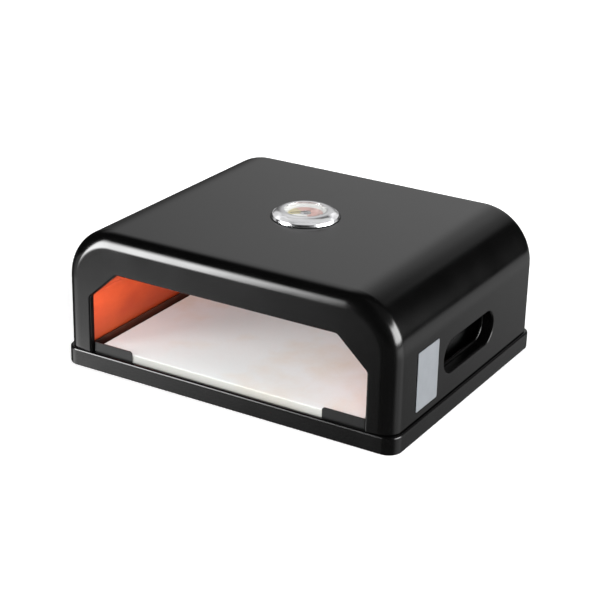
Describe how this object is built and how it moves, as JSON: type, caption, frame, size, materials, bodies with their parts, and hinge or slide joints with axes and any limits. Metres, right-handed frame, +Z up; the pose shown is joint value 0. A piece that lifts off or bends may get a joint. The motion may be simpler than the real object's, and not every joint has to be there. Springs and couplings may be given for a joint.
{
  "type": "barbecue pizza oven",
  "caption": "Table-top pizza oven for a barbecue: black steel hood and liner over a baking slab, wide front mouth, side grip slots, round thermometer on top.",
  "frame": {"origin": "middle of the tray's underside, where the oven stands", "axes": "+X to the oven's left-to-right width, +Y from the mouth to the back, +Z up"},
  "size_m": [0.42, 0.337, 0.1773],
  "materials": {
    "hood_coat": "black powder coat, satin gloss",
    "tray_coat": "black powder coat, satin gloss",
    "rail_coat": "black coat, darkened by heat",
    "liner_steel": "rolled stainless sheet, heat tinted",
    "slab_ceramic": "fired cordierite, matt and slightly grainy",
    "chrome_bezel": "bright polished",
    "gauge_glass": "clear",
    "dial_paint": "printed white disc",
    "pointer_paint": "matt black",
    "seal_rubber": "black silicone",
    "zinc_steel": "bright zinc",
    "plate_metal": "thin satin sheet, bare",
    "bimetal_strip": "rolled bimetal"
  },
  "bodies": {
    "oven": {"base_tray": "tray_coat", "outer_hood": "hood_coat", "grip_collar_left": "hood_coat", "grip_collar_right": "hood_coat", "inner_liner": "liner_steel", "liner_back": "liner_steel", "stone_rail_left": "rail_coat", "stone_rail_right": "rail_coat", "data_plate": "plate_metal", "gauge_seal": "seal_rubber", "gauge_case": "zinc_steel", "gauge_bezel": "chrome_bezel", "gauge_lens": "gauge_glass", "gauge_dial": "dial_paint", "gauge_stem": "zinc_steel", "gauge_washer": "zinc_steel", "gauge_nut": "zinc_steel", "gauge_coil": "bimetal_strip", "back_rivet_1": "zinc_steel", "back_rivet_2": "zinc_steel", "back_rivet_3": "zinc_steel", "back_rivet_4": "zinc_steel", "hood_screw_1": "zinc_steel", "hood_screw_2": "zinc_steel", "hood_screw_3": "zinc_steel", "hood_screw_4": "zinc_steel", "hood_screw_5": "zinc_steel", "hood_screw_6": "zinc_steel", "liner_screw_1": "zinc_steel", "liner_screw_2": "zinc_steel", "liner_screw_3": "zinc_steel", "liner_screw_4": "zinc_steel", "rail_screw_1": "zinc_steel", "rail_screw_2": "zinc_steel", "rail_screw_3": "zinc_steel", "rail_screw_4": "zinc_steel"},
    "slab": {"pizza_stone": "slab_ceramic"},
    "pointer": {"gauge_pointer": "pointer_paint", "gauge_spindle": "zinc_steel"}
  },
  "joints": [
    {"name": "pointer_turn", "type": "hinge", "parent": "oven", "child": "pointer", "pos_m": [0, 0, 0.1713], "axis": [0, 0, -1], "range_deg": [0, 270]},
    {"name": "slab_lift", "type": "slide", "parent": "oven", "child": "slab", "axis": [0, 0, 1], "range_m": [0, 0.06]}
  ]
}
